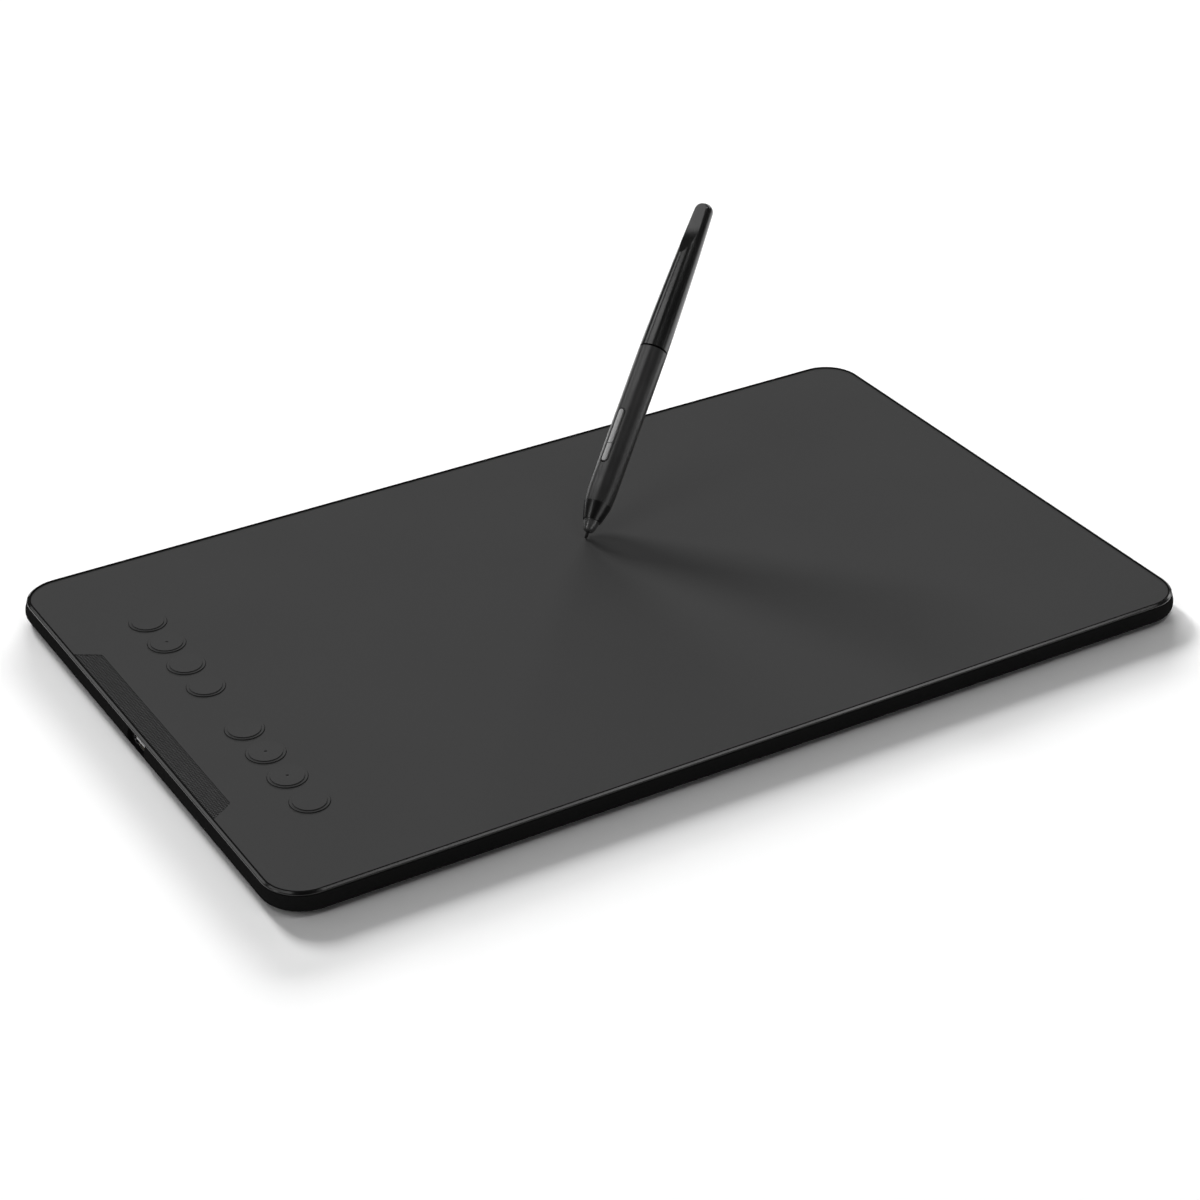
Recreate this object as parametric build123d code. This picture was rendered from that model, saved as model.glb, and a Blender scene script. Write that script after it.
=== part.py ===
from build123d import *
import math
import os

# Graphics tablet with a battery-free pen, in millimetres.
# X runs along the long side with the keys at -X, Y from the user's edge to the back edge, Z up.
# The origin is on the desk under the middle of the tablet.

# Driving dimensions of the tablet
LENGTH = 351.2
WIDTH = 217.4
CORNER = 14.0
FOOT_STANDS = 0.6
BODY_HEIGHT = 7.6
RIM_SLOPE = (0.77, 0.5)
RIM_ROUND = 0.3
CREST_ROUND = 0.05
FILM = 0.3
FILM_SUNK = 0.25
FILM_INSET = 1.42
FILM_PLAY = 0.05
SHELL_WALL = 2.0
FLOOR = 1.2
TOP_PLATE = 1.2
LIP_DROP = 0.45
SEAM_GAP = 0.25
SEAM_DEPTH = 0.6
UNDER_EDGE_RADIUS = 2.8
WALL_BULGE = 0.8
WALL_LEAN = (0.75, 2.65)
WALL_ROUND = 6.0
PLAY = 0.1

# Keys and knurled strip
KEY_X = -144.05
KEY_PITCH = 16.22
KEY_MIDDLE_GAP = 30.55
KEYS_PER_GROUP = 4
KEY_RADIUS = 6.55
KEY_GAP = 0.15
KEY_STANDS = 0.42
KEY_CROWN_RADIUS = 5.55
KEY_SHOULDER = 0.22
KEY_BEVEL = 0.06
KEY_TRAVEL = 0.35
KEY_FLANGE = (0.95, 0.7)
KEY_STEM_RADIUS = 1.6
MARKED_KEYS = (2, 6, 7)
MARK_BALL = 1.1
MARK_DEPTH = 0.2
STRIP_INNER_X = -166.0
STRIP_LONG = 114.6
STRIP_SHORT = 104.4
STRIP_CORNER = 2.0
STRIP_SINK = 0.02
STRIP = 0.3
STRIP_FIT = (0.02, 0.05)

# Port and circuit boards
PORT_Y = 0.0
POCKET_HALF = 6.8
POCKET_HEIGHT = 5.0
POCKET_DEPTH = 1.0
SHELL_MOUTH = (8.94, 3.26)
SHELL_SHEET = 0.3
SHELL_DEPTH = 7.3
SHELL_PROUD = 0.25
TONGUE = (6.68, 0.7)
TONGUE_FRONT = 0.1
TONGUE_BACK = 0.6
BOARD = 0.8
SENSOR_SIZE = (268.0, 172.0)
SENSOR_X = 22.0
SHIELD = 0.3
FOAM = 0.5
FOAM_X = (-98.0, 154.0)
FOAM_WIDTH = 10.0
CONTROLLER_X = (-172.6, -133.0)
CONTROLLER_WIDTH = 156.0
CONTROLLER_LIFT = 0.3
SWITCH_SIDE = 4.6
SWITCH_HEIGHT = 1.6
PLUNGER_RADIUS = 1.1
RIBBON_HALF = 9.0
RIBBON = 0.2
SOCKET_X = (-140.4, -136.0)
SOCKET_HEIGHT = 1.3
SOCKET_SLOT = (2.5, 0.5, 0.9)
RIBBON_BENDS_X = (-130.0, -124.0, -106.0)
RIBBON_BEND_RADIUS = 3.0

# Screws, feet and ribs
SCREW_PLACES = [(x, y) for x in (-142.0, 0.0, 142.0) for y in (-98.0, 98.0)]
BOARD_SCREWS = [(-165.0, -70.0), (-165.0, 70.0), (-137.5, -73.5), (-137.5, 73.5)]
FOOT_PLACES = [(x, y) for x in (-142.0, 142.0) for y in (-98.0, 98.0)]
FOOT_SIZE = (46.0, 9.0)
FOOT_SUNK = 0.3
FOOT_EDGE = 0.25
BOSS_MEET = 3.5
COVER_BOSS = 2.6
TRAY_BOSS = 3.2
BOARD_BOSS = 2.2
SHANK_RADIUS = 0.78
PILOT_RADIUS = 0.82
SHANK_HOLE = 1.0
HEAD_RADIUS = 1.7
HEAD_HOLE = 1.9
HEAD_SEAT = 2.3
HEAD_HEIGHT = 0.9
BOARD_HEAD_HEIGHT = 0.7
DRIVE_SLOT = (2.2, 0.45)
RIB = 1.2
RIBS_Y = (-80.0, -40.0, 0.0, 40.0, 80.0)
RIBS_X = (-110.0, -66.0, -22.0, 22.0, 66.0, 110.0, 154.0)
RIBS_REACH = ((-112.0, 156.0), (-86.0, 86.0))
LABEL_RECESS = (70.0, 36.0, 0.15)

# Heights in the tablet that follow from them
UNDERSIDE = FOOT_STANDS
TOP_FACE = UNDERSIDE + BODY_HEIGHT
RIM_LINE = TOP_FACE - RIM_SLOPE[1]
FILM_TOP = TOP_FACE - FILM_SUNK
FILM_BED = FILM_TOP - FILM
STRIP_TOP = FILM_TOP - STRIP_SINK
STRIP_BED = STRIP_TOP - STRIP
PLATE_UNDER = FILM_BED - TOP_PLATE
FLOOR_TOP = UNDERSIDE + FLOOR
COVER_LIP = RIM_LINE - LIP_DROP
WALL_TOP = COVER_LIP - SEAM_GAP
CONTROLLER_UNDER = FLOOR_TOP + CONTROLLER_LIFT
CONTROLLER_TOP = CONTROLLER_UNDER + BOARD
SENSOR_UNDER = PLATE_UNDER - BOARD
RIB_TOP = SENSOR_UNDER - SHIELD - FOAM
PORT_Z = CONTROLLER_TOP + SHELL_MOUTH[1] / 2
SWITCH_TOP = CONTROLLER_TOP + SWITCH_HEIGHT
PLUNGER_FOOT = CONTROLLER_TOP + KEY_TRAVEL + 0.35
PLUNGER_TOP = SWITCH_TOP + KEY_TRAVEL + 0.1
FLANGE_TOP = PLATE_UNDER - 0.05
FLANGE_UNDER = FLANGE_TOP - KEY_FLANGE[1]
SOCKET_TOP = CONTROLLER_TOP + SOCKET_HEIGHT

# Parts soldered to the controller board: middle, size and height
CHIP = (-161.0, -14.0, 7.0, 7.0, 0.9)
COMPONENTS = [
    (-163.0, 26.0, 5.0, 4.0, 1.5),
    (-163.0, -24.0, 4.0, 5.0, 1.5),
    (-154.5, 38.0, 3.2, 2.5, 0.9),
    (-156.0, -38.0, 6.0, 6.0, 2.4),
    (-155.0, 8.0, 3.0, 3.0, 0.9),
    (-155.0, -9.0, 3.0, 3.0, 0.9),
]
COMPONENTS += [(-160.0 + 2.6 * i, y, 1.2, 2.0, 0.8) for y in (50.0, -50.0) for i in range(4)]

# Driving dimensions of the pen
PEN_LENGTH = 140.6
PEN_TOUCH = (15.2, 35.5)
PEN_RISE = 38.13
PEN_HEADING = 34.92
PEN_ROLL = -18.9
NIB_RADIUS = 0.6
NIB_TRAVEL = 0.4
NIB_HOVER = 0.05
GRIP_RADIUS = 5.4
CONE_RADIUS = 5.08
CONE_FRONT = 3.4
SLEEVE_BORE = 4.25
SPIGOT_PLAY = 0.05
SLOT_WIDTH = 3.2
SLOT_CORNER = 1.55
SLOT_EDGE = 0.25
BUTTON_WIDTH = 2.1
BUTTON_CORNER = 1.0
BUTTON_PROUD = 0.2
BUTTON_EDGE = 0.15
BUTTON_TRAVEL = 0.35
BUTTON_INSIDE = 3.0
BUTTON_FLANGE = (5.7, 0.45)
STEM_SIDE = 1.6
SWITCH_BODY = (3.0, 1.8)
RING_RADII = (4.95, 4.22)
CARRIER_RADII = (3.7, 3.1)
PEN_BOARD_X = (-0.2, 0.4)
PEN_BOARD_WIDTH = 5.8
FERRITE_RADII = (1.95, 0.85)
COIL_RADII = (2.5, 2.0)
PRESSURE_RADIUS = 3.0
HOLDER_RADIUS = 1.7
FACET_X = 2.48
FACET_BEND = 31.0
FACET_LEAN = 12.0
FACET_RUN_OUT = 12.0
TAIL_ROUND = 2.9

# Heights along the pen, from the tip of the nib
NIB_OUT = 2.6
NIB_TAIL = 21.0
TIP_END = 7.0
TIP_SPIGOT = 1.9
COIL = (9.3, 17.3)
CONE_END = 13.6
CARRIER = (17.9, 92.0)
PRESSURE = (22.9, 27.5)
GRIP_FULL = 21.0
SLOT = (28.7, 50.9)
LOWER_BUTTON = (29.15, 36.3)
UPPER_BUTTON = (36.5, 50.45)
LOWER_FLANGE = (28.0, 36.3)
UPPER_FLANGE = (36.5, 51.6)
PEN_BOARD = (29.0, 88.0)
BARREL_SPIGOT = 73.5
GRIP_END = 77.4
BARREL_START = 78.1
FACET_START = 130.0
# Radius of the tip cone's rounded side, by height above its nose
TIP_SIDE = [(0.95, 0.0), (1.6, 0.25), (2.0, 0.75), (2.38, 1.8), (2.72, 3.1), (2.92, TIP_END - NIB_OUT)]
# Radius of the upper barrel, by height
BARREL_SIDE = [
    (5.36, BARREL_START),
    (5.27, 85.0),
    (5.02, 97.0),
    (4.69, 109.0),
    (4.41, 118.0),
    (4.1, 126.0),
    (3.75, 134.0),
    (3.44, PEN_LENGTH),
]
# Radius and height along the hollow of the upper barrel
BARREL_HOLLOW = [(0, 70), (3.75, 70), (3.75, 96), (2.4, 120), (0, 122)]
# Parts on the pen's board: height, length, width and thickness
PEN_CHIPS = [
    (61.0, 5.0, 4.0, 0.9),
    (70.0, 3.0, 3.0, 0.8),
    (76.0, 2.0, 3.0, 0.8),
    (84.0, 2.4, 1.6, 0.6),
]

# How far a cutting shape runs past the face that it opens
PAST = 1.0
# Height of the band in which level edges are looked for
LEVEL = 0.1


def save(name, shape):
    """Write one sub-part to its own file."""
    export_step(shape, f"parts/{name}.step")


def slab(size_x, size_y, radius, bottom, top, inset=0.0):
    """Plate with rounded corners between two heights, its outline drawn in by an inset."""
    outline = RectangleRounded(size_x - 2 * inset, size_y - 2 * inset, radius - inset)
    return Pos(0, 0, bottom) * extrude(outline, top - bottom)


def body_slab(bottom, top, inset=0.0):
    """Plate with the tablet's own outline."""
    return slab(LENGTH, WIDTH, CORNER, bottom, top, inset)


def block(x_range, y_range, z_range):
    """Box from its limits on each axis."""
    size = [high - low for low, high in (x_range, y_range, z_range)]
    middle = [(high + low) / 2 for low, high in (x_range, y_range, z_range)]
    return Pos(*middle) * Box(*size)


def about(middle, size):
    """Limits of a length that is centred on a place."""
    return (middle - size / 2, middle + size / 2)


def rod(x, y, radius, bottom, top):
    """Upright cylinder between two heights."""
    return Pos(x, y, (bottom + top) / 2) * Cylinder(radius, top - bottom)


def tube(radii, bottom, top):
    """Upright tube on the Z axis."""
    outer, inner = radii
    return rod(0, 0, outer, bottom, top) - rod(0, 0, inner, bottom - PAST, top + PAST)


def turned(*curves):
    """Solid of revolution about the Z axis, from its half section."""
    return revolve(Plane.XZ * make_face(list(curves)), Axis.Z)


def key_rows():
    """Middles of the eight keys along Y, from the back edge to the user's edge."""
    steps = [KEY_MIDDLE_GAP / 2 + KEY_PITCH * i for i in range(KEYS_PER_GROUP)]
    return sorted(steps + [-step for step in steps], reverse=True)


def strip_outline(grow=0.0):
    """Trapezoid of the knurled strip, long side at the rim, short side towards the keys."""
    outer_x = -LENGTH / 2 + FILM_INSET - grow
    inner_x = STRIP_INNER_X + grow
    half_long = STRIP_LONG / 2 + grow
    half_short = STRIP_SHORT / 2 + grow
    corners = [
        (outer_x, -half_long),
        (inner_x, -half_short),
        (inner_x, half_short),
        (outer_x, half_long),
    ]
    face = make_face(Polyline(*corners, close=True))
    return fillet(face.vertices().group_by(Axis.X)[-1], STRIP_CORNER)


def grip_strip():
    """Inlay in the strip's bed, a little below the film."""
    return Pos(0, 0, STRIP_BED) * extrude(strip_outline(), STRIP)


def drawing_film():
    """Matt film with key holes and a notch for the strip."""
    film = body_slab(FILM_BED, FILM_TOP, FILM_INSET)
    for y in key_rows():
        film -= rod(KEY_X, y, KEY_RADIUS + KEY_GAP, FILM_BED - PAST, FILM_TOP + PAST)
    return film - Pos(0, 0, FILM_BED - PAST) * extrude(strip_outline(STRIP_FIT[0]), FILM + 2 * PAST)


def top_cover():
    """Top shell: rim with a sloped edge, sunk bed for the film, key holes and screw bosses."""
    cover = body_slab(COVER_LIP, TOP_FACE)
    cover = chamfer(cover.edges().group_by(Axis.Z)[-1], *reversed(RIM_SLOPE))
    for height, radius in ((RIM_LINE, RIM_ROUND), (TOP_FACE, CREST_ROUND)):
        corner = cover.edges().filter_by_position(Axis.Z, *about(height, LEVEL))
        cover = fillet(corner, radius)
    cover += body_slab(PLATE_UNDER, COVER_LIP, SHELL_WALL + PLAY)
    cover -= body_slab(FILM_BED, TOP_FACE + PAST, FILM_INSET - FILM_PLAY)
    for y in key_rows():
        cover -= rod(KEY_X, y, KEY_RADIUS + PLAY, PLATE_UNDER - PAST, TOP_FACE + PAST)
    cover -= Pos(0, 0, STRIP_BED) * extrude(strip_outline(STRIP_FIT[1]), TOP_FACE)
    for x, y in SCREW_PLACES:
        cover += rod(x, y, COVER_BOSS, BOSS_MEET, PLATE_UNDER)
        cover -= rod(x, y, PILOT_RADIUS, BOSS_MEET - PAST, PLATE_UNDER - 0.3)
    return cover


def tray_body():
    """Outer form of the tray: the wall swells below the seam and turns under to the floor."""
    body = body_slab(UNDERSIDE, COVER_LIP, -WALL_BULGE)
    body = chamfer(body.edges().group_by(Axis.Z)[-1], *reversed(WALL_LEAN))
    ridge = body.edges().filter_by_position(Axis.Z, *about(COVER_LIP - WALL_LEAN[1], LEVEL))
    body = fillet(ridge, WALL_ROUND)
    return fillet(body.edges().group_by(Axis.Z)[0], UNDER_EDGE_RADIUS)


def tray():
    """Bottom shell: floor, walls, ribs, bosses, foot beds and the pocket round the port."""
    shell = tray_body()
    tongue = body_slab(WALL_TOP - PAST, COVER_LIP + 2 * PAST, SEAM_DEPTH)
    shell -= body_slab(WALL_TOP, COVER_LIP + PAST, -WALL_BULGE) - tongue
    shell -= body_slab(FLOOR_TOP, COVER_LIP + PAST, SHELL_WALL)
    shell += ribs()
    for x, y in SCREW_PLACES:
        shell += rod(x, y, TRAY_BOSS, FLOOR_TOP, BOSS_MEET)
        shell -= rod(x, y, HEAD_HOLE, UNDERSIDE - PAST, HEAD_SEAT)
        shell -= rod(x, y, SHANK_HOLE, UNDERSIDE, BOSS_MEET + PAST)
    for x, y in FOOT_PLACES:
        shell -= Pos(x, y) * foot_slab(PLAY)
    for x, y in BOARD_SCREWS:
        shell += rod(x, y, BOARD_BOSS, FLOOR_TOP, CONTROLLER_UNDER)
        shell -= rod(x, y, PILOT_RADIUS, FLOOR_TOP - 0.7, CONTROLLER_UNDER + PAST)
    label_x, label_y, label_z = LABEL_RECESS
    shell -= block(about(0, label_x), about(0, label_y), (UNDERSIDE - PAST, UNDERSIDE + label_z))
    return shell - port_pocket()


def ribs():
    """Stiffening ribs under the drawing area, running both ways."""
    reach_x, reach_y = RIBS_REACH
    lattice = Part()
    for y in RIBS_Y:
        lattice += block(reach_x, about(y, RIB), (FLOOR_TOP, RIB_TOP))
    for x in RIBS_X:
        lattice += block(about(x, RIB), reach_y, (FLOOR_TOP, RIB_TOP))
    return lattice


def port_face(size, corner):
    """Rounded outline in the plane of the port, centred on the receptacle."""
    return Plane.YZ * (Pos(PORT_Y, PORT_Z) * RectangleRounded(*size, corner))


def port_pocket():
    """Recess in the left wall for a plug's grip, with the window for the receptacle."""
    rim_x = -LENGTH / 2
    outer_x = rim_x - WALL_BULGE - PAST
    outline = port_face((2 * POCKET_HALF, POCKET_HEIGHT), 1.0)
    pocket = Pos(outer_x, 0, 0) * extrude(outline, rim_x + POCKET_DEPTH - outer_x)
    pocket += block(
        (outer_x, rim_x + POCKET_DEPTH),
        about(PORT_Y, 2 * POCKET_HALF),
        (PORT_Z, COVER_LIP + PAST),
    )
    window = port_face([side + 2 * PLAY for side in SHELL_MOUTH], 1.4)
    return pocket + Pos(rim_x, 0, 0) * extrude(window, SHELL_WALL + PAST)


def usb_shell():
    """Folded steel shell of the receptacle, open at the front."""
    front = -LENGTH / 2 + POCKET_DEPTH - SHELL_PROUD
    mouth = [side - 2 * SHELL_SHEET for side in SHELL_MOUTH]
    shell = Pos(front, 0, 0) * extrude(port_face(SHELL_MOUTH, 1.3), SHELL_DEPTH)
    return shell - Pos(front - PAST, 0, 0) * extrude(port_face(mouth, 1.0), SHELL_DEPTH + PAST - TONGUE_BACK)


def usb_tongue():
    """Contact tongue in the middle of the receptacle."""
    front = -LENGTH / 2 + POCKET_DEPTH
    reach = (front + TONGUE_FRONT, front - SHELL_PROUD + SHELL_DEPTH - TONGUE_BACK)
    return block(reach, about(PORT_Y, TONGUE[0]), about(PORT_Z, TONGUE[1]))


def controller_board():
    """Circuit board under the keys."""
    board = block(CONTROLLER_X, about(0, CONTROLLER_WIDTH), (CONTROLLER_UNDER, CONTROLLER_TOP))
    for x, y in BOARD_SCREWS:
        board -= rod(x, y, SHANK_HOLE, CONTROLLER_UNDER - PAST, CONTROLLER_TOP + PAST)
    return board


def key_switches():
    """Bodies of the eight tactile switches, open on top for their plungers."""
    bodies = []
    for y in key_rows():
        body = block(about(KEY_X, SWITCH_SIDE), about(y, SWITCH_SIDE), (CONTROLLER_TOP, SWITCH_TOP))
        bore = rod(KEY_X, y, PLUNGER_RADIUS + 0.05, CONTROLLER_TOP + 0.2, SWITCH_TOP + PAST)
        bodies.append(body - bore)
    return Compound(children=bodies)


def key_cap(y, marked):
    """Round cap with a shoulder round its crown, a retaining flange and a short stem."""
    top = FILM_TOP + KEY_STANDS
    shoulder = FILM_TOP + KEY_SHOULDER
    flange, _ = KEY_FLANGE
    section = Polyline(
        (0, PLUNGER_TOP),
        (KEY_STEM_RADIUS, PLUNGER_TOP),
        (KEY_STEM_RADIUS, FLANGE_UNDER),
        (KEY_RADIUS + flange, FLANGE_UNDER),
        (KEY_RADIUS + flange, FLANGE_TOP),
        (KEY_RADIUS, FLANGE_TOP),
        (KEY_RADIUS, shoulder - KEY_BEVEL),
        (KEY_RADIUS - KEY_BEVEL, shoulder),
        (KEY_CROWN_RADIUS, shoulder),
        (KEY_CROWN_RADIUS, top - KEY_BEVEL),
        (KEY_CROWN_RADIUS - KEY_BEVEL, top),
        (0, top),
        close=True,
    )
    cap = Pos(KEY_X, y) * turned(section)
    if marked:
        cap -= Pos(KEY_X, y, top + MARK_BALL - MARK_DEPTH) * Sphere(MARK_BALL)
    return cap


def plunger(y):
    """Plunger of one tactile switch."""
    return rod(KEY_X, y, PLUNGER_RADIUS, PLUNGER_FOOT, PLUNGER_TOP)


def soldered(x, y, size_x, size_y, height):
    """Box on top of the controller board."""
    return block(about(x, size_x), about(y, size_y), (CONTROLLER_TOP, CONTROLLER_TOP + height))


def ribbon_socket():
    """Low socket on the controller board that takes the ribbon's end."""
    depth, low, high = SOCKET_SLOT
    half = RIBBON_HALF + 1.5
    socket = block(SOCKET_X, (-half, half), (CONTROLLER_TOP, SOCKET_TOP))
    return socket - block(
        (SOCKET_X[1] - depth, SOCKET_X[1] + PAST),
        (-RIBBON_HALF - PLAY, RIBBON_HALF + PLAY),
        (CONTROLLER_TOP + low, CONTROLLER_TOP + high),
    )


def ribbon_cable():
    """Flat flexible cable from the socket, up in an S-bend, to the underside of the sensor board."""
    depth, slot_low, slot_high = SOCKET_SLOT
    low = CONTROLLER_TOP + (slot_low + slot_high) / 2
    high = SENSOR_UNDER - RIBBON / 2
    bend_start, bend_end, end = RIBBON_BENDS_X
    route = FilletPolyline(
        (SOCKET_X[1] - depth + 0.3, low),
        (bend_start, low),
        (bend_end, high),
        (end, high),
        radius=RIBBON_BEND_RADIUS,
    )
    return extrude(Plane.XZ * trace(route, RIBBON), RIBBON_HALF, both=True)


def sensor_plate(bottom, top):
    """Plate with the outline of the sensor board."""
    return block(about(SENSOR_X, SENSOR_SIZE[0]), about(0, SENSOR_SIZE[1]), (bottom, top))


def sensor_shield():
    """Thin shield plate behind the sensor board, cut away where the ribbon is soldered."""
    half = RIBBON_HALF + 1
    left = SENSOR_X - SENSOR_SIZE[0] / 2
    notch = block(
        (left - PAST, RIBBON_BENDS_X[2] + 2),
        (-half, half),
        (SENSOR_UNDER - PAST, SENSOR_UNDER + PAST),
    )
    return sensor_plate(SENSOR_UNDER - SHIELD, SENSOR_UNDER) - notch


def foam_strips():
    """Foam between the shield and the ribs."""
    return Compound(children=[
        block(FOAM_X, about(y, FOAM_WIDTH), (RIB_TOP, RIB_TOP + FOAM)) for y in RIBS_Y
    ])


def foot_slab(grow=0.0):
    """Long rounded plate of one foot, up to the bottom of its bed."""
    return slab(*FOOT_SIZE, FOOT_SIZE[1] / 2 - 0.01, 0, UNDERSIDE + FOOT_SUNK, -grow)


def rubber_foot(x, y):
    """One foot, pressed into its bed in the tray."""
    foot = Pos(x, y) * foot_slab()
    return fillet(foot.edges().group_by(Axis.Z)[0], FOOT_EDGE)


def cover_screws():
    """Screws that hold the tray to the top cover."""
    screws = []
    slot_long, slot_wide = DRIVE_SLOT
    for x, y in SCREW_PLACES:
        screw = rod(x, y, HEAD_RADIUS, HEAD_SEAT - HEAD_HEIGHT, HEAD_SEAT)
        screw += rod(x, y, SHANK_RADIUS, HEAD_SEAT, PLATE_UNDER - 0.5)
        drive = Pos(x, y, HEAD_SEAT - HEAD_HEIGHT)
        screw -= drive * Box(slot_long, slot_wide, HEAD_HEIGHT)
        screw -= drive * Box(slot_wide, slot_long, HEAD_HEIGHT)
        screws.append(screw)
    return Compound(children=screws)


def board_screws():
    """Small screws of the controller board."""
    screws = []
    for x, y in BOARD_SCREWS:
        head = rod(x, y, HEAD_RADIUS, CONTROLLER_TOP, CONTROLLER_TOP + BOARD_HEAD_HEIGHT)
        screws.append(head + rod(x, y, SHANK_RADIUS, FLOOR_TOP - 0.5, CONTROLLER_TOP))
    return Compound(children=screws)


def nib():
    """Thin nib with a round tip."""
    return rod(0, 0, NIB_RADIUS, NIB_RADIUS, NIB_TAIL) + Pos(0, 0, NIB_RADIUS) * Sphere(NIB_RADIUS)


def nib_holder():
    """Socket that holds the nib's tail and presses on the sensor."""
    holder = rod(0, 0, HOLDER_RADIUS, COIL[1] + 0.6, PRESSURE[0] - NIB_TRAVEL - 0.1)
    return holder - rod(0, 0, NIB_RADIUS + 0.01, COIL[1], NIB_TAIL)


def tip_cone():
    """Grey front cone round the nib, with a spigot into the black cone."""
    bore = NIB_RADIUS + PLAY
    spigot = 2.0
    nose, *side = [(radius, NIB_OUT + height) for radius, height in TIP_SIDE]
    rest = Polyline(
        side[-1],
        (spigot, TIP_END),
        (spigot, TIP_END + TIP_SPIGOT),
        (bore, TIP_END + TIP_SPIGOT),
        (bore, NIB_OUT),
        nose,
    )
    return turned(Spline(nose, *side, tangents=[(1, 0.25), (0.2, 1)]), rest)


def front_cone():
    """Gloss black cone between the tip and the grip."""
    socket = 2.05
    coil_bore = 2.6
    side = ThreePointArc(
        (CONE_FRONT, TIP_END),
        ((CONE_FRONT + CONE_RADIUS) / 2 + 0.1, (TIP_END + CONE_END) / 2),
        (CONE_RADIUS, CONE_END),
    )
    inside = Polyline(
        (CONE_RADIUS, CONE_END),
        (SLEEVE_BORE - SPIGOT_PLAY, CONE_END),
        (SLEEVE_BORE - SPIGOT_PLAY, COIL[1]),
        (coil_bore, COIL[1]),
        (coil_bore, TIP_END + TIP_SPIGOT + PLAY),
        (socket, TIP_END + TIP_SPIGOT + PLAY),
        (socket, TIP_END),
        (CONE_FRONT, TIP_END),
    )
    return turned(side, inside)


def button_prism(z_range, width, corner, x_range):
    """Prism across the pen with rounded ends, seen from the switch side."""
    low, high = z_range
    outline = Pos(0, (low + high) / 2) * RectangleRounded(width, high - low, corner)
    return Pos(x_range[0], 0, 0) * extrude(Plane.YZ * outline, x_range[1] - x_range[0])


def slot_mouth(edge):
    """True for the edges where the slot opens through the grip's outside."""
    middle = edge.center()
    outside = abs(math.hypot(middle.X, middle.Y) - GRIP_RADIUS) < 0.2
    return outside and middle.X > 0 and SLOT[0] - 0.1 < middle.Z < SLOT[1] + 0.1


def grip_sleeve():
    """Matt grip, swelling to its full size, with the slot for the side buttons."""
    swell = Spline((CONE_RADIUS, CONE_END), (GRIP_RADIUS, GRIP_FULL), tangents=[(0.08, 1), (0, 1)])
    rest = Polyline(
        (GRIP_RADIUS, GRIP_FULL),
        (GRIP_RADIUS, GRIP_END),
        (SLEEVE_BORE, GRIP_END),
        (SLEEVE_BORE, CONE_END),
        (CONE_RADIUS, CONE_END),
    )
    sleeve = turned(swell, rest) - button_prism(SLOT, SLOT_WIDTH, SLOT_CORNER, (PAST, GRIP_RADIUS + PAST))
    return chamfer(sleeve.edges().filter_by(slot_mouth), SLOT_EDGE)


def side_button(z_range, flange_range):
    """Rocker half with a crowned top, a flange inside the sleeve and a stem over its switch."""
    crown = rod(0, 0, GRIP_RADIUS + BUTTON_PROUD, *z_range)
    outside = (BUTTON_INSIDE, GRIP_RADIUS + PAST)
    rocker = (LOWER_BUTTON[0], UPPER_BUTTON[1])
    button = button_prism(rocker, BUTTON_WIDTH, BUTTON_CORNER, outside) & crown
    button = fillet(button.edges().filter_by(lambda edge: edge.center().X > 4.6), BUTTON_EDGE)
    flange_under = BUTTON_INSIDE - BUTTON_FLANGE[1]
    button += block((flange_under, BUTTON_INSIDE), about(0, BUTTON_FLANGE[0]), flange_range)
    middle = sum(z_range) / 2
    stem = (SWITCH_BODY[1] + BUTTON_TRAVEL + 0.05, flange_under)
    return button + block(stem, about(0, STEM_SIDE), about(middle, STEM_SIDE))


def side_switches():
    """Two small switches under the side buttons."""
    side, top = SWITCH_BODY
    return Compound(children=[
        block((PEN_BOARD_X[1], top), about(0, side), about(sum(z_range) / 2, side))
        for z_range in (LOWER_BUTTON, UPPER_BUTTON)
    ])


def past_facet():
    """What the flat near the barrel's end takes away: it bends and runs out towards the nib."""
    flat = Line((FACET_X, PEN_LENGTH + PAST), (FACET_X, FACET_START))
    bend = JernArc(flat @ 1, flat % 1, FACET_BEND, FACET_LEAN)
    run_out = Line(bend @ 1, bend @ 1 + (bend % 1) * FACET_RUN_OUT)
    outside = (BARREL_SIDE[0][0] + PAST, (run_out @ 1).Y)
    back = Polyline(run_out @ 1, outside, (outside[0], PEN_LENGTH + PAST), flat @ 0)
    outline = Plane.XZ * make_face([flat, bend, run_out, back])
    return extrude(outline, BARREL_SIDE[0][0], both=True)


def upper_barrel():
    """Tapering barrel with a round end, a flat near its end and a spigot into the grip."""
    rest = Polyline(BARREL_SIDE[-1], (0, PEN_LENGTH), (0, BARREL_START), BARREL_SIDE[0])
    barrel = turned(Spline(*BARREL_SIDE), rest)
    barrel = fillet(barrel.edges().group_by(Axis.Z)[-1], TAIL_ROUND)
    barrel -= past_facet()
    barrel += rod(0, 0, SLEEVE_BORE - SPIGOT_PLAY, BARREL_SPIGOT, BARREL_START)
    return barrel - turned(Polyline(*BARREL_HOLLOW, close=True))


def pen_carrier():
    """Half-round cradle for the pen's circuit board."""
    reach = CARRIER_RADII[0] + PAST
    above = block((PEN_BOARD_X[0], reach), (-reach, reach), (CARRIER[0] - PAST, CARRIER[1] + PAST))
    return tube(CARRIER_RADII, *CARRIER) - above


def pen_components():
    """Small chips on the pen's board."""
    top = PEN_BOARD_X[1]
    return Compound(children=[
        block((top, top + height), about(0, width), about(z, length))
        for z, length, width, height in PEN_CHIPS
    ])


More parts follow.
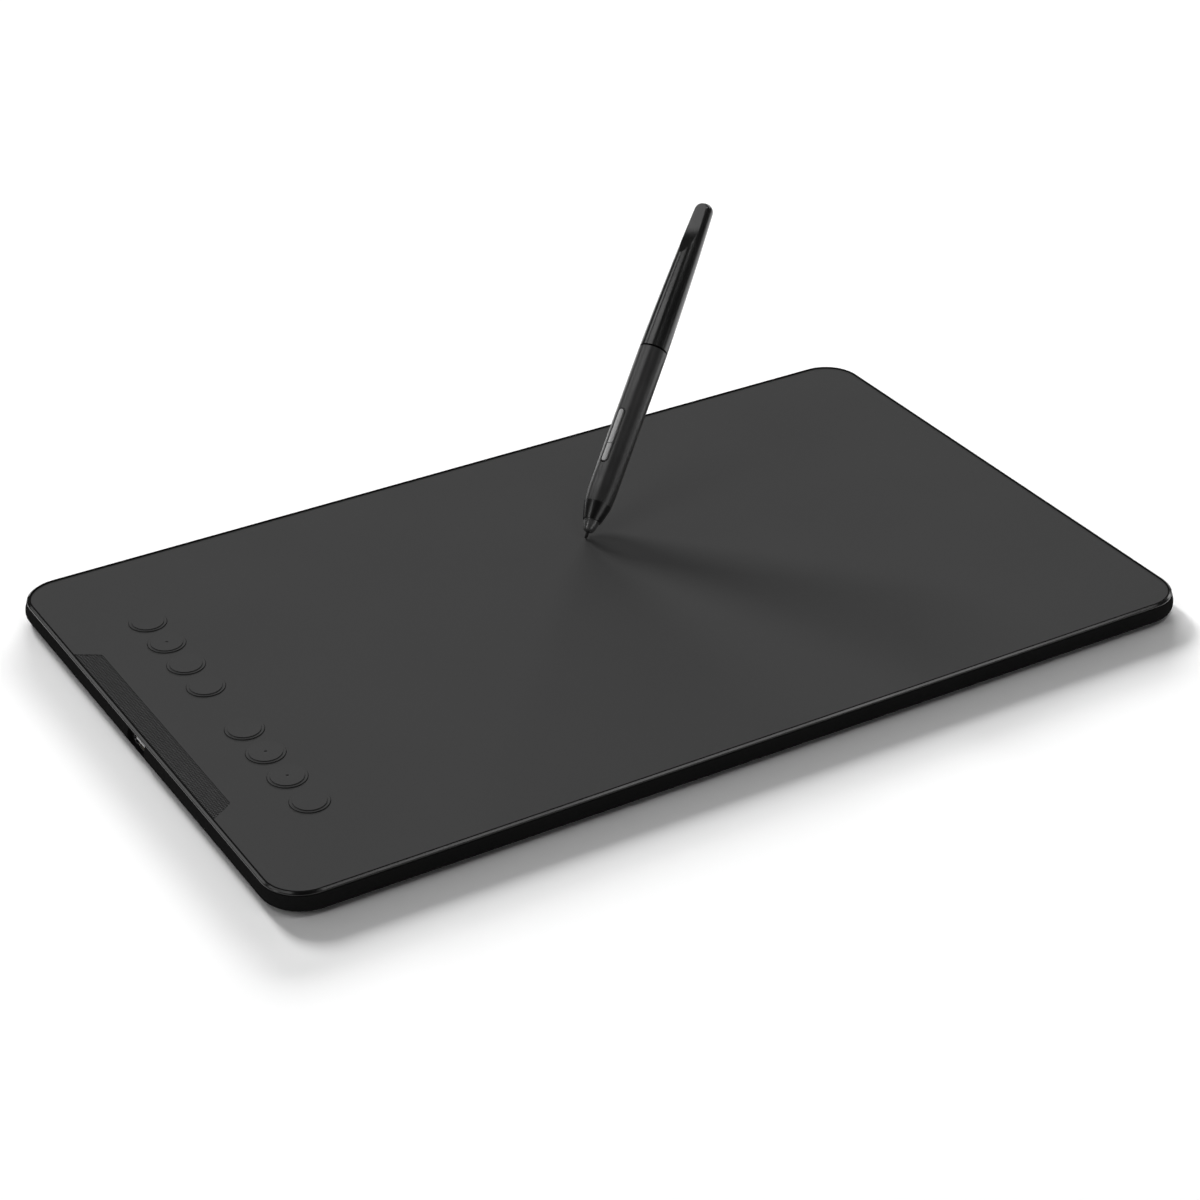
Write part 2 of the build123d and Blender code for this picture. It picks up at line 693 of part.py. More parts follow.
def pen_place():
    """Place of the pen: nib just clear of the film, barrel leaning back to the right."""
    rise, heading, roll = (math.radians(angle) for angle in (PEN_RISE, PEN_HEADING, PEN_ROLL))
    level = Vector(math.cos(heading), math.sin(heading), 0)
    along = level * math.cos(rise) + Vector(0, 0, math.sin(rise))
    upward = (Vector(0, 0, 1) - along * along.Z).normalized()
    sideways = along.cross(upward)
    switch_side = upward * math.cos(roll) + sideways * math.sin(roll)
    tip_z = FILM_TOP + NIB_HOVER + NIB_RADIUS * (1 - along.Z)
    return Plane(origin=(*PEN_TOUCH, tip_z), x_dir=switch_side, z_dir=along).location


def tablet_parts():
    """Every sub-part of the tablet by name."""
    parts = {
        "surface_sheet": drawing_film(),
        "top_cover": top_cover(),
        "bottom_cover": tray(),
        "grip_strip": grip_strip(),
        "sensor_board": sensor_plate(SENSOR_UNDER, PLATE_UNDER),
        "sensor_shield": sensor_shield(),
        "foam_strips": foam_strips(),
        "controller_board": controller_board(),
        "controller_chip": soldered(*CHIP),
        "board_components": Compound(children=[soldered(*place) for place in COMPONENTS]),
        "ribbon_socket": ribbon_socket(),
        "ribbon_cable": ribbon_cable(),
        "usb_shell": usb_shell(),
        "usb_tongue": usb_tongue(),
        "key_switches": key_switches(),
        "cover_screws": cover_screws(),
        "board_screws": board_screws(),
    }
    for number, (x, y) in enumerate(FOOT_PLACES, start=1):
        parts[f"rubber_foot_{number}"] = rubber_foot(x, y)
    for number, y in enumerate(key_rows(), start=1):
        parts[f"key_cap_{number}"] = key_cap(y, number in MARKED_KEYS)
        parts[f"switch_plunger_{number}"] = plunger(y)
    return parts


def pen_parts():
    """Every sub-part of the pen by name, in the pen's place."""
    parts = {
        "nib": nib(),
        "nib_holder": nib_holder(),
        "tip_cone": tip_cone(),
        "front_cone": front_cone(),
        "grip_sleeve": grip_sleeve(),
        "seam_ring": tube(RING_RADII, GRIP_END, BARREL_START),
        "upper_barrel": upper_barrel(),
        "lower_side_button": side_button(LOWER_BUTTON, LOWER_FLANGE),
        "upper_side_button": side_button(UPPER_BUTTON, UPPER_FLANGE),
        "side_switches": side_switches(),
        "pen_carrier": pen_carrier(),
        "pen_board": block(PEN_BOARD_X, about(0, PEN_BOARD_WIDTH), PEN_BOARD),
        "pen_components": pen_components(),
        "ferrite_core": tube(FERRITE_RADII, *COIL),
        "pen_coil": tube(COIL_RADII, *COIL),
        "pressure_sensor": rod(0, 0, PRESSURE_RADIUS, *PRESSURE),
    }
    place = pen_place()
    return {name: place * shape for name, shape in parts.items()}


def main():
    os.makedirs("parts", exist_ok=True)
    for name, shape in {**tablet_parts(), **pen_parts()}.items():
        save(name, shape)


main()
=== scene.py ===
"""Finishes, fine pieces, lights and camera for a graphics tablet with its pen."""

import math

import bpy
from mathutils import Matrix, Vector


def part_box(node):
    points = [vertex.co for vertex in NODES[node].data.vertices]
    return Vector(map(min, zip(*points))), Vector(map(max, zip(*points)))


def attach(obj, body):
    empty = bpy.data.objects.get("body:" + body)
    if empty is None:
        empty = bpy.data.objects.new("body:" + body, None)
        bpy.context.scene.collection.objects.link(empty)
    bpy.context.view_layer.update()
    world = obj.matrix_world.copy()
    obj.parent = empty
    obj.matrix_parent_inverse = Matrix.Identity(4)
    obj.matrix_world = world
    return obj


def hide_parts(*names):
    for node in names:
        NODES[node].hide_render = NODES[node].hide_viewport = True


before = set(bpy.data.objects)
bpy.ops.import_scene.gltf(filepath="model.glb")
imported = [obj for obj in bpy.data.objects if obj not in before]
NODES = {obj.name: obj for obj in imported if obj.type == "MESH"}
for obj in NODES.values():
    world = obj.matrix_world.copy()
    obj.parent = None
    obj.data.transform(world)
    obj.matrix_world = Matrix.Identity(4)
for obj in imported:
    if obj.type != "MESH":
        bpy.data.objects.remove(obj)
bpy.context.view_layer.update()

bl_info = {
    "name": "Graphics tablet and pen",
    "version": (1, 0, 0),
    "blender": (4, 5, 0),
    "location": "3D View > Sidebar > Tablet",
    "description": "Builds the finishes and fine pieces of a graphics tablet and its pen",
    "category": "Object",
}

MM = 0.001
SMOOTH_ANGLE = math.radians(40)

# The pen's own frame: its axis from the nib to the tail, and the side that carries the buttons
PEN_AXIS = Vector((0.6449840, 0.4502819, 0.6174478)).normalized()
PEN_SIDE = Vector((-0.6644026, -0.0687942, 0.7442019)).normalized()
PEN_TOUCH = (0.0152, 0.0355)
NIB_RADIUS = 0.6 * MM


def pen_matrix():
    """Places what is modelled upright at the origin on the pen, nib down."""
    tip_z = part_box("nib")[0].z + NIB_RADIUS * (1 - PEN_AXIS.z)
    across = PEN_AXIS.cross(PEN_SIDE)
    turn = Matrix((PEN_SIDE, across, PEN_AXIS)).transposed().to_4x4()
    return Matrix.Translation((*PEN_TOUCH, tip_z)) @ turn


PEN = pen_matrix()


# Settings that a user would change


def length(name, description, default):
    """A size in metres."""
    return bpy.props.FloatProperty(
        name=name, description=description, default=default, subtype="DISTANCE", unit="LENGTH"
    )


def share(name, description, default):
    """A value from 0 to 1."""
    return bpy.props.FloatProperty(
        name=name, description=description, default=default, min=0, max=1, subtype="FACTOR"
    )


def angle(name, description, default):
    """An angle, its default given in degrees."""
    return bpy.props.FloatProperty(
        name=name,
        description=description,
        default=math.radians(default),
        subtype="ANGLE",
        unit="ROTATION",
    )


def colour(name, description, default):
    """A linear colour, its default given as one grey or as three channels."""
    channels = (default,) * 3 if isinstance(default, float) else default
    return bpy.props.FloatVectorProperty(
        name=name,
        description=description,
        default=(*channels, 1.0),
        size=4,
        min=0,
        max=1,
        subtype="COLOR",
    )


class TabletColours(bpy.types.PropertyGroup):
    """Colours of the finishes that show."""

    film: colour("Drawing film", "Matt film of the drawing surface", 0.051)
    case: colour("Case", "Satin plastic of the two shells", 0.004)
    keys: colour("Keys", "Matt plastic of the key caps", 0.052)
    strip: colour("Grip strip", "Knurled inlay by the left edge", 0.062)
    grip: colour("Pen grip", "Soft coating of the pen's grip", 0.027)
    barrel: colour("Pen barrel", "Satin plastic of the upper barrel", 0.004)
    tip: colour("Pen tip", "Smoky grey plastic of the tip cone", 0.09)
    buttons: colour("Side buttons", "Satin grey of the two side buttons", 0.45)
    floor: colour("Floor", "Pale floor under the tablet", 1.0)


class TabletSizes(bpy.types.PropertyGroup):
    """Sizes of the fine pieces."""

    knurl_pitch: length("Knurl pitch", "Distance between two pyramids of the strip", 0.95 * MM)
    knurl_rise: length("Knurl rise", "Height of one pyramid", 0.2 * MM)
    knurl_groove: length("Knurl groove", "Width of the groove between two pyramids", 0.12 * MM)
    strip_slant: length("Strip slant", "How much shorter the strip's inner side is at each end", 5.1 * MM)
    strip_corner: length("Strip corner", "Radius of the strip's inner corners", 2.0 * MM)
    contact_width: length("Contact width", "Width of one contact in the port", 0.26 * MM)
    contact_pitch: length("Contact pitch", "Distance between two contacts", 0.5 * MM)


class TabletView(bpy.types.PropertyGroup):
    """Camera and lights."""

    azimuth: angle("Azimuth", "Direction of the camera round the tablet", -30.4489)
    elevation: angle("Elevation", "Height of the camera above the horizon", 30.68996)
    roll: angle("Roll", "Turn of the camera about its line of sight", -0.41833)
    distance: length("Distance", "From the camera to the point it looks at", 1.06265522)
    focal: bpy.props.FloatProperty(
        name="Focal length",
        description="Focal length of the lens in millimetres",
        default=90.993,
        unit="CAMERA",
    )
    ambient: share("Ambient", "Share of the light that comes from all round", 0.05)
    sun: share("Sun", "Share of the light from the low lamp behind the tablet", 0.42)
    back: share("Back light", "Share from the wide low soft box behind the tablet", 0.36)
    right: share("Right light", "Share from the low soft box behind and to the right", 0.05)
    rear: share("Rear light", "Share from the soft box behind and to the left", 0.022)
    left: share("Left light", "Share from the long soft box at the left", 0.075)
    side: share("Side light", "Share from the upright strip at the far left", 0.05)
    top: share("Top light", "Share from the small soft box overhead", 0.08)
    front: share("Front light", "Share from the low soft box at the front", 0.018)


# Shader helpers


# Scale at which Blender's wave texture has one band in a metre
WAVE_BAND = 0.314
# Parts of a noise's range that a grade is taken over
BROAD = (0.3, 0.7)
STEEP = (0.35, 0.65)


def grey(value):
    """A neutral colour."""
    return (value,) * 3


def add(tree, kind, **values):
    """Adds a shader node and sets its inputs or its options by name."""
    made = tree.nodes.new("ShaderNode" + kind)
    for name, value in values.items():
        socket = made.inputs.get(name.replace("_", " "))
        if socket is None:
            setattr(made, name, value)
        else:
            socket.default_value = value
    return made


def grade(tree, value, low, high, steps=(0.0, 1.0)):
    """Maps a value between two steps to the range from low to high."""
    made = add(tree, "MapRange")
    numbers = (("From Min", steps[0]), ("From Max", steps[1]), ("To Min", low), ("To Max", high))
    for name, number in numbers:
        made.inputs[name].default_value = number
    tree.links.new(value, made.inputs["Value"])
    return made.outputs["Result"]


def blended(tree, factor, first, second, blend="MIX"):
    """Mixes two colours, each a socket or a plain colour."""
    made = add(tree, "Mix", data_type="RGBA", blend_type=blend)
    sockets = [made.inputs[0], made.inputs[6], made.inputs[7]]
    for socket, value in zip(sockets, (factor, first, second)):
        if isinstance(value, bpy.types.NodeSocket):
            tree.links.new(value, socket)
        else:
            socket.default_value = value
    return made.outputs[2]


def combined(tree, operation, first, second):
    """One value from two."""
    made = add(tree, "Math", operation=operation)
    tree.links.new(first, made.inputs[0])
    tree.links.new(second, made.inputs[1])
    return made.outputs[0]


def scaled(shade, by):
    """A colour made lighter or darker."""
    return (*[min(1.0, channel * by) for channel in shade[:3]], 1.0)


def grain(tree, place, size, detail=2.0, kind="Noise"):
    """Fine pattern with features of a given size in metres."""
    made = add(tree, "Tex" + kind, Scale=1 / size)
    if kind == "Noise":
        made.inputs["Detail"].default_value = detail
    tree.links.new(place, made.inputs["Vector"])
    return made.outputs[0]


def bump(tree, shader, height, depth, strength=1.0):
    """Raises the surface by a height pattern, depth in metres."""
    made = add(tree, "Bump", Strength=strength, Distance=depth)
    tree.links.new(height, made.inputs["Height"])
    tree.links.new(made.outputs["Normal"], shader.inputs["Normal"])
    return made


def begin(name, roughness, specular=0.5, metallic=0.0):
    """New material with its shader, and the object's own coordinates."""
    material = bpy.data.materials.new(name)
    material.use_nodes = True
    tree = material.node_tree
    shader = tree.nodes["Principled BSDF"]
    shader.inputs["Roughness"].default_value = roughness
    shader.inputs["Specular IOR Level"].default_value = specular
    shader.inputs["Metallic"].default_value = metallic
    place = add(tree, "TexCoord").outputs["Object"]
    return material, tree, shader, place


def colour_drift(tree, shader, shade, slow, slow_by, fine, fine_by):
    """Base colour that drifts slowly over the surface and is specked by the fine texture."""
    tone = blended(tree, slow, scaled(shade, 1 - slow_by), scaled(shade, 1 + slow_by))
    speck = grade(tree, fine, 1 - fine_by, 1 + fine_by, BROAD)
    tree.links.new(blended(tree, 1.0, tone, speck, "MULTIPLY"), shader.inputs["Base Color"])


def gloss_drift(tree, shader, roughness, pattern, by, steps=STEEP):
    """Roughness that drifts to both sides of its mean."""
    gloss = grade(tree, pattern, roughness - by, roughness + by, steps)
    tree.links.new(gloss, shader.inputs["Roughness"])


def moulded(name, shade, roughness, specular, texture=0.3 * MM, depth=0.01 * MM, drift=0.06):
    """Moulded plastic: spark-eroded texture, slow drift of tone and of gloss."""
    material, tree, shader, place = begin(name, roughness, specular)
    fine = grain(tree, place, texture, 3.0)
    slow = grain(tree, place, 30 * MM, 2.0)
    colour_drift(tree, shader, shade, slow, drift, fine, drift)
    gloss_drift(tree, shader, roughness, slow, 0.03)
    bump(tree, shader, fine, depth)
    return material


def drawing_film(shade):
    """Matt film: a paper-like tooth over a faint mottling."""
    material, tree, shader, place = begin("drawing_film", 0.7, 0.0)
    tooth = grain(tree, place, 0.16 * MM, 2.0)
    pits = grain(tree, place, 0.4 * MM, kind="Voronoi")
    slow = grain(tree, place, 45 * MM, 2.0)
    colour_drift(tree, shader, shade, slow, 0.03, tooth, 0.06)
    height = combined(tree, "ADD", tooth, grade(tree, pits, 0.0, 0.4))
    bump(tree, shader, height, 0.006 * MM)
    return material


def pen_place(tree, place):
    """Object coordinates turned into the pen's own frame."""
    turned = add(tree, "Mapping", vector_type="TEXTURE")
    turned.inputs["Location"].default_value = PEN.translation
    turned.inputs["Rotation"].default_value = PEN.to_euler()
    tree.links.new(place, turned.inputs["Vector"])
    return turned.outputs["Vector"]


def soft_coat(shade):
    """Soft-touch coating of the grip: very fine velvet grain with a dull sheen."""
    roughness = 0.34
    material, tree, shader, place = begin("soft_coat", roughness, 0.9)
    fine = grain(tree, place, 0.12 * MM, 2.0)
    slow = grain(tree, place, 12 * MM, 2.0)
    colour_drift(tree, shader, shade, slow, 0.06, fine, 0.07)
    gloss_drift(tree, shader, roughness, slow, 0.03)
    bump(tree, shader, fine, 0.006 * MM)
    return material


def brushed(name, shade, roughness, stretch=(1.0, 30.0, 30.0)):
    """Sheet metal with fine lines along one axis."""
    material, tree, shader, place = begin(name, roughness, 0.5, 1.0)
    lines = add(tree, "Mapping")
    lines.inputs["Scale"].default_value = stretch
    tree.links.new(place, lines.inputs["Vector"])
    fine = grain(tree, lines.outputs["Vector"], 3 * MM, 4.0)
    tone = blended(tree, fine, scaled(shade, 0.85), scaled(shade, 1.1))
    tree.links.new(tone, shader.inputs["Base Color"])
    gloss_drift(tree, shader, roughness, fine, 0.08, BROAD)
    bump(tree, shader, fine, 0.004 * MM)
    return material


def circuit_board(name, mask, trace_pitch):
    """Solder mask over copper traces that run both ways, with pads at some crossings."""
    material, tree, shader, place = begin(name, 0.35, 0.45)
    waves = []
    for direction in ("X", "Y"):
        wave = add(tree, "TexWave", bands_direction=direction, Scale=WAVE_BAND / trace_pitch)
        wave.inputs["Distortion"].default_value = 0.0
        tree.links.new(place, wave.inputs["Vector"])
        waves.append(grade(tree, wave.outputs["Fac"], 0.0, 1.0, (0.72, 0.8)))
    patches = grain(tree, place, 14 * MM, kind="Voronoi")
    side = grade(tree, patches, 0.0, 1.0, (0.48, 0.5))
    traces = blended(tree, side, waves[0], waves[1])
    tone = blended(tree, traces, scaled(mask, 0.8), scaled(mask, 1.7))
    dots = grain(tree, place, 3.1 * MM, kind="Voronoi")
    pads = grade(tree, dots, 1.0, 0.0, (0.1, 0.12))
    gold = (0.62, 0.42, 0.14, 1.0)
    tree.links.new(blended(tree, pads, tone, gold), shader.inputs["Base Color"])
    bump(tree, shader, traces, 0.03 * MM)
    return material


def foam():
    """Black open-cell foam."""
    material, tree, shader, place = begin("foam", 0.95, 0.2)
    cells = grain(tree, place, 0.5 * MM, kind="Voronoi")
    tone = blended(tree, cells, (0.02, 0.02, 0.021, 1.0), (0.004, 0.004, 0.004, 1.0))
    tree.links.new(tone, shader.inputs["Base Color"])
    bump(tree, shader, cells, 0.2 * MM)
    return material


def ribbon_film():
    """Amber film with copper tracks along its length."""
    material, tree, shader, place = begin("ribbon_film", 0.3, 0.5)
    wave = add(tree, "TexWave", bands_direction="Y", Scale=WAVE_BAND / MM)
    tree.links.new(place, wave.inputs["Vector"])
    tracks = grade(tree, wave.outputs["Fac"], 0.0, 1.0, (0.45, 0.55))
    tone = blended(tree, tracks, (0.28, 0.1, 0.012, 1.0), (0.5, 0.2, 0.06, 1.0))
    tree.links.new(tone, shader.inputs["Base Color"])
    bump(tree, shader, tracks, 0.02 * MM)
    return material


def copper_coil():
    """Enamelled wire laid in close turns round the pen's axis."""
    material, tree, shader, place = begin("copper_coil", 0.25, 0.5, 1.0)
    wave = add(tree, "TexWave", bands_direction="Z", Scale=WAVE_BAND / (0.14 * MM))
    tree.links.new(pen_place(tree, place), wave.inputs["Vector"])
    turns = wave.outputs["Fac"]
    tone = blended(tree, turns, (0.35, 0.09, 0.03, 1.0), (0.85, 0.38, 0.18, 1.0))
    tree.links.new(tone, shader.inputs["Base Color"])
    bump(tree, shader, turns, 0.05 * MM)
    return material


def smoky_tip(shade):
    """Smoky grey plastic, a little clear, with fine turning marks round the axis."""
    material, tree, shader, place = begin("smoky_tip", 0.24, 1.0)
    rings = add(tree, "TexWave", bands_direction="Z", Scale=WAVE_BAND / (0.5 * MM), Distortion=1.5)
    tree.links.new(pen_place(tree, place), rings.inputs["Vector"])
    cloud = grain(tree, place, 2 * MM, 2.0)
    tone = blended(tree, cloud, scaled(shade, 0.85), scaled(shade, 1.15))
    tree.links.new(tone, shader.inputs["Base Color"])
    bump(tree, shader, rings.outputs["Fac"], 0.003 * MM)
    return material


def chip_plastic():
    """Dark moulding compound of the chips, with a lighter rim round each lead."""
    material, tree, shader, place = begin("chip_plastic", 0.55, 0.4)
    fine = grain(tree, place, 0.1 * MM, 3.0)
    legs = grain(tree, place, 0.9 * MM, kind="Voronoi")
    tone = blended(tree, fine, (0.012, 0.012, 0.013, 1.0), (0.03, 0.03, 0.032, 1.0))
    metal = grade(tree, legs, 1.0, 0.0, (0.06, 0.1))
    tree.links.new(blended(tree, metal, tone, (0.35, 0.35, 0.36, 1.0)), shader.inputs["Base Color"])
    bump(tree, shader, fine, 0.01 * MM)
    return material


def make_finishes():
    """Every finish by name."""
    c = bpy.context.scene.tablet_colours
    return {
        "film": drawing_film(c.film),
        "case": moulded("case_satin", c.case, 0.16, 0.5, 0.35 * MM, 0.004 * MM, 0.1),
        # Painted sheen: the bottom shell is the case plastic lifted 3.4 times with no gloss, standing in
        # for the reflection its walls would show
        "tray": moulded("tray_painted_sheen", scaled(c.case, 3.4), 0.5, 0.0, 0.35 * MM, 0.004 * MM, 0.1),
        "keys": moulded("key_matt", c.keys, 0.7, 0.0, 0.2 * MM, 0.005 * MM),
        "strip": moulded("strip_matt", c.strip, 0.6, 0.02, 0.15 * MM, 0.005 * MM, 0.12),
        "rubber": moulded("foot_rubber", grey(0.012), 0.8, 0.2, 0.25 * MM, 0.03 * MM, 0.12),
        "grip": soft_coat(c.grip),
        "barrel": moulded("barrel_satin", c.barrel, 0.22, 1.0, 0.2 * MM, 0.002 * MM),
        "gloss": moulded("cone_gloss", grey(0.001), 0.27, 0.8, 0.4 * MM, 0.001 * MM),
        "tip": smoky_tip(c.tip),
        "nib": moulded("nib_matt", grey(0.012), 0.5, 0.3, 0.08 * MM, 0.004 * MM),
        "button": moulded("button_satin", c.buttons, 0.3, 0.8, 0.12 * MM, 0.003 * MM),
        "ring": moulded("ring_matt", grey(0.001), 0.6, 0.05, 0.2 * MM, 0.004 * MM),
        "inner": moulded("inner_plastic", grey(0.02), 0.5, 0.4, 0.3 * MM, 0.01 * MM),
        "contact": moulded("tongue_plastic", grey(0.75), 0.35, 0.5, 0.3 * MM, 0.004 * MM),
        "main_board": circuit_board("main_board", (0.004, 0.03, 0.012), 0.8 * MM),
        "sensor": circuit_board("sensor_antennas", (0.004, 0.02, 0.03), 4.0 * MM),
        "pen_board": circuit_board("pen_board", (0.004, 0.03, 0.012), 0.5 * MM),
        "chip": chip_plastic(),
        "shield": brushed("shield_sheet", (0.6, 0.61, 0.62), 0.38),
        "steel": brushed("steel_sheet", (0.42, 0.42, 0.43), 0.24, (30.0, 1.0, 30.0)),
        "screw": brushed("screw_zinc", (0.3, 0.3, 0.31), 0.35, (20.0, 20.0, 1.0)),
        "foam": foam(),
        "ribbon": ribbon_film(),
        "coil": copper_coil(),
        "ferrite": moulded("ferrite", (0.03, 0.029, 0.028), 0.6, 0.4, 0.15 * MM, 0.02 * MM, 0.2),
        "gold": brushed("contact_gold", (0.83, 0.6, 0.24), 0.25, (1.0, 12.0, 12.0)),
    }


FINISH_OF = {
    "surface_sheet": "film",
    "top_cover": "case",
    "bottom_cover": "tray",
    "grip_strip": "strip",
    "sensor_board": "sensor",
    "sensor_shield": "shield",
    "foam_strips": "foam",
    "controller_board": "main_board",
    "controller_chip": "chip",
    "board_components": "chip",
    "ribbon_socket": "inner",
    "ribbon_cable": "ribbon",
    "usb_shell": "steel",
    "usb_tongue": "contact",
    "key_switches": "inner",
    "cover_screws": "screw",
    "board_screws": "screw",
    "rubber_foot": "rubber",
    "key_cap": "keys",
    "switch_plunger": "inner",
    "nib": "nib",
    "nib_holder": "inner",
    "tip_cone": "tip",
    "front_cone": "gloss",
    "grip_sleeve": "grip",
    "seam_ring": "ring",
    "upper_barrel": "barrel",
    "lower_side_button": "button",
    "upper_side_button": "button",
    "side_switches": "inner",
    "pen_carrier": "inner",
    "pen_board": "pen_board",
    "pen_components": "chip",
    "ferrite_core": "ferrite",
    "pen_coil": "coil",
    "pressure_sensor": "steel",
}

FINISHES = {}


def finish_of(node):
    """Finish of a node, whose name may end in a number."""
    stem = node.rstrip("0123456789").rstrip("_")
    return FINISHES[FINISH_OF.get(node, FINISH_OF.get(stem))]


# Modelling helpers


def start():
    """Deselects everything, in object mode."""
    if bpy.context.object and bpy.context.object.mode != "OBJECT":
        bpy.ops.object.mode_set(mode="OBJECT")
    bpy.ops.object.select_all(action="DESELECT")


def apply_place(piece):
    """Moves a piece's place into its mesh."""
    start()
    piece.select_set(True)
    bpy.context.view_layer.objects.active = piece
    bpy.ops.object.transform_apply(location=True, rotation=True, scale=True)


def give(piece, name, finish, body, slot, *replaced):
    """Names a piece, gives it its finish and lets it ride on its body."""
    piece.name = name
    piece.data.name = name
    piece.data.materials.clear()
    piece.data.materials.append(FINISHES[finish])
    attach(piece, body)
    if replaced:
        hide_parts(*replaced)


class TABLET_OT_finishes(bpy.types.Operator):
    """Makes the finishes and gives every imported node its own"""

    bl_idname = "tablet.finishes"
    bl_label = "Finishes"

    def execute(self, context):
        FINISHES.update(make_finishes())
        for name, obj in NODES.items():
            obj.data.materials.clear()
            obj.data.materials.append(finish_of(name))
        return {"FINISHED"}


# Share of the pitch that the sloped side of a pyramid takes
KNURL_FLANK = 0.22


def corner_planes(vertex, slanted, radius, steps=4):
    """Cutting planes round one inner corner of the strip, the last one along its slanted end."""
    straight = Vector((1, 0, 0))
    middle = vertex - (straight + slanted) * radius / (1 + straight.dot(slanted))
    for step in range(1, steps + 1):
        normal = straight.slerp(slanted, step / steps)
        yield middle + normal * radius, normal


class TABLET_OT_strip(bpy.types.Operator):
    """Knurled strip: rows of small pyramids on a plate cut to the strip's outline"""

    bl_idname = "tablet.strip"
    bl_label = "Knurled strip"

    def execute(self, context):
        sizes = context.scene.tablet_sizes
        low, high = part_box("grip_strip")
        width, run = high.x - low.x, high.y - low.y
        across = max(1, round(width / sizes.knurl_pitch))
        along = max(1, round(run / sizes.knurl_pitch))
        start()
        bpy.ops.mesh.primitive_grid_add(
            x_subdivisions=across,
            y_subdivisions=along,
            size=1,
            location=((low.x + high.x) / 2, (low.y + high.y) / 2, high.z - sizes.knurl_rise),
        )
        strip = context.object
        strip.scale = (width, run, 1)
        apply_place(strip)
        bpy.ops.object.mode_set(mode="EDIT")
        for side, end in ((1, high.y), (-1, low.y)):
            vertex = Vector((high.x, end - side * sizes.strip_slant, 0))
            slanted = Vector((sizes.strip_slant, side * width, 0)).normalized()
            for point, normal in corner_planes(vertex, slanted, sizes.strip_corner):
                bpy.ops.mesh.select_all(action="SELECT")
                bpy.ops.mesh.bisect(
                    plane_co=point, plane_no=normal, clear_outer=True, use_fill=False
                )
        bpy.ops.mesh.select_all(action="SELECT")
        bpy.ops.mesh.inset(thickness=sizes.knurl_groove / 2, depth=0.0, use_individual=True)
        bpy.ops.mesh.inset(
            thickness=sizes.knurl_pitch * KNURL_FLANK, depth=sizes.knurl_rise, use_individual=True
        )
        bpy.ops.mesh.select_mode(type="EDGE")
        bpy.ops.mesh.select_all(action="DESELECT")
        bpy.ops.mesh.select_non_manifold()
        bpy.ops.mesh.extrude_region_move(
            TRANSFORM_OT_translate={"value": (0, 0, low.z - high.z + sizes.knurl_rise)}
        )
        bpy.ops.mesh.edge_face_add()
        bpy.ops.mesh.select_all(action="SELECT")
        bpy.ops.mesh.normals_make_consistent(inside=False)
        bpy.ops.object.mode_set(mode="OBJECT")
        give(strip, "knurled_strip", "strip", "tablet", "knurled_plastic", "grip_strip")
        return {"FINISHED"}


CONTACTS_IN_ROW = 12
CONTACT_LENGTH = 4.4 * MM
CONTACT_THICKNESS = 0.06 * MM
CONTACT_EDGE = 0.02 * MM
# From the tongue's front to the contacts
CONTACT_INSET = 0.4 * MM


class TABLET_OT_contacts(bpy.types.Operator):
    """Two rows of gold contacts on the tongue in the port"""

    bl_idname = "tablet.contacts"
    bl_label = "Port contacts"

    def execute(self, context):
        sizes = context.scene.tablet_sizes
        low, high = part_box("usb_tongue")
        first_x = low.x + CONTACT_INSET + CONTACT_LENGTH / 2
        first_y = (low.y + high.y) / 2 - sizes.contact_pitch * (CONTACTS_IN_ROW - 1) / 2
        start()
        bpy.ops.mesh.primitive_cube_add(size=1, location=(first_x, first_y, high.z))
        row = context.object
        row.scale = (CONTACT_LENGTH, sizes.contact_width, CONTACT_THICKNESS)
        apply_place(row)
        bpy.ops.object.mode_set(mode="EDIT")
        bpy.ops.mesh.select_all(action="SELECT")
        bpy.ops.mesh.bevel(offset=CONTACT_EDGE, segments=2, affect="EDGES")
        bpy.ops.object.mode_set(mode="OBJECT")
        array = row.modifiers.new("contacts", "ARRAY")
        array.count = CONTACTS_IN_ROW
        array.use_relative_offset = False
        array.use_constant_offset = True
        array.constant_offset_displace = (0, sizes.contact_pitch, 0)
        bpy.ops.object.modifier_apply(modifier=array.name)
        bpy.ops.object.duplicate()
        under = context.object
        bpy.ops.object.mode_set(mode="EDIT")
        bpy.ops.mesh.select_all(action="SELECT")
        bpy.ops.transform.translate(value=(0, 0, low.z - high.z))
        bpy.ops.object.mode_set(mode="OBJECT")
        row.select_set(True)
        under.select_set(True)
        context.view_layer.objects.active = row
        bpy.ops.object.join()
        bpy.ops.object.shade_smooth_by_angle(angle=SMOOTH_ANGLE)
        give(row, "port_contacts", "gold", "tablet", "copper")
        return {"FINISHED"}


class TABLET_OT_stage(bpy.types.Operator):
    """Pale floor, soft lights, white background and the camera"""

    bl_idname = "tablet.stage"
    bl_label = "Stage"

    def execute(self, context):
        context.scene.view_settings.view_transform = "Standard"
        make_floor(context)
        make_world(context)
        make_lamps(context)
        make_camera(context)
        return {"FINISHED"}


FLOOR_SIZE = 40.0
# Distances from the tablet's middle between which the floor turns plain white
WHITE_SPAN = (0.35, 0.8)


